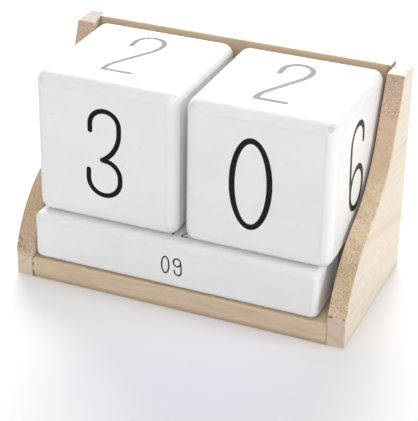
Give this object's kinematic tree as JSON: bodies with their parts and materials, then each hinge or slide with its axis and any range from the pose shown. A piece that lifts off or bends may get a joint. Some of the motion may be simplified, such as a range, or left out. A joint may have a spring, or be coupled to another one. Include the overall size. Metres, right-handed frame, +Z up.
{
  "type": "wooden block calendar",
  "caption": "Open pine stand with curved cheeks that holds two white numbered cubes over white month bars; cubes and bars lift or slide out and turn to show the date.",
  "frame": {"origin": "on the table, at the middle of the stand's footprint", "axes": "+X to the reader's right along the stand, +Y away from the reader, +Z up"},
  "size_m": [0.117, 0.0594, 0.0753],
  "materials": {
    "pine": "bare sanded pine, pale, fine straight grain",
    "white_paint": "wood under matt white paint, softly rounded edges",
    "black_ink": "matt black printed ink film",
    "beech_dowel": "plain glued dowel, hidden in the joints"
  },
  "bodies": {
    "stand": {"base_board": "pine", "back_board": "pine", "left_cheek": "pine", "right_cheek": "pine", "back_dowels": "beech_dowel", "base_dowels": "beech_dowel", "foot_dowels": "beech_dowel"},
    "left_cube": {"left_cube": "white_paint", "left_cube_numeral_0": "black_ink", "left_cube_numeral_1": "black_ink", "left_cube_numeral_2": "black_ink", "left_cube_numeral_3": "black_ink", "left_cube_numeral_4": "black_ink", "left_cube_numeral_5": "black_ink"},
    "right_cube": {"right_cube": "white_paint", "right_cube_numeral_0": "black_ink", "right_cube_numeral_1": "black_ink", "right_cube_numeral_2": "black_ink", "right_cube_numeral_6": "black_ink", "right_cube_numeral_7": "black_ink", "right_cube_numeral_8": "black_ink"},
    "rear_month_bar": {"rear_month_bar": "white_paint", "rear_month_bar_numeral_01": "black_ink", "rear_month_bar_numeral_02": "black_ink", "rear_month_bar_numeral_03": "black_ink", "rear_month_bar_numeral_04": "black_ink"},
    "middle_month_bar": {"middle_month_bar": "white_paint", "middle_month_bar_numeral_05": "black_ink", "middle_month_bar_numeral_06": "black_ink", "middle_month_bar_numeral_07": "black_ink", "middle_month_bar_numeral_08": "black_ink"},
    "front_month_bar": {"front_month_bar": "white_paint", "front_month_bar_numeral_09": "black_ink", "front_month_bar_numeral_10": "black_ink", "front_month_bar_numeral_11": "black_ink", "front_month_bar_numeral_12": "black_ink"}
  },
  "joints": [
    {"name": "left_cube_lift", "type": "slide", "parent": "stand", "child": "left_cube", "axis": [0, 0, 1], "range_m": [0, 0.06]},
    {"name": "right_cube_lift", "type": "slide", "parent": "stand", "child": "right_cube", "axis": [0, 0, 1], "range_m": [0, 0.06]},
    {"name": "rear_month_bar_draw", "type": "slide", "parent": "stand", "child": "rear_month_bar", "axis": [0, -1, 0], "range_m": [0, 0.06]},
    {"name": "middle_month_bar_draw", "type": "slide", "parent": "rear_month_bar", "child": "middle_month_bar", "axis": [0, -1, 0], "range_m": [0, 0.06]},
    {"name": "front_month_bar_draw", "type": "slide", "parent": "middle_month_bar", "child": "front_month_bar", "axis": [0, -1, 0], "range_m": [0, 0.06]}
  ]
}
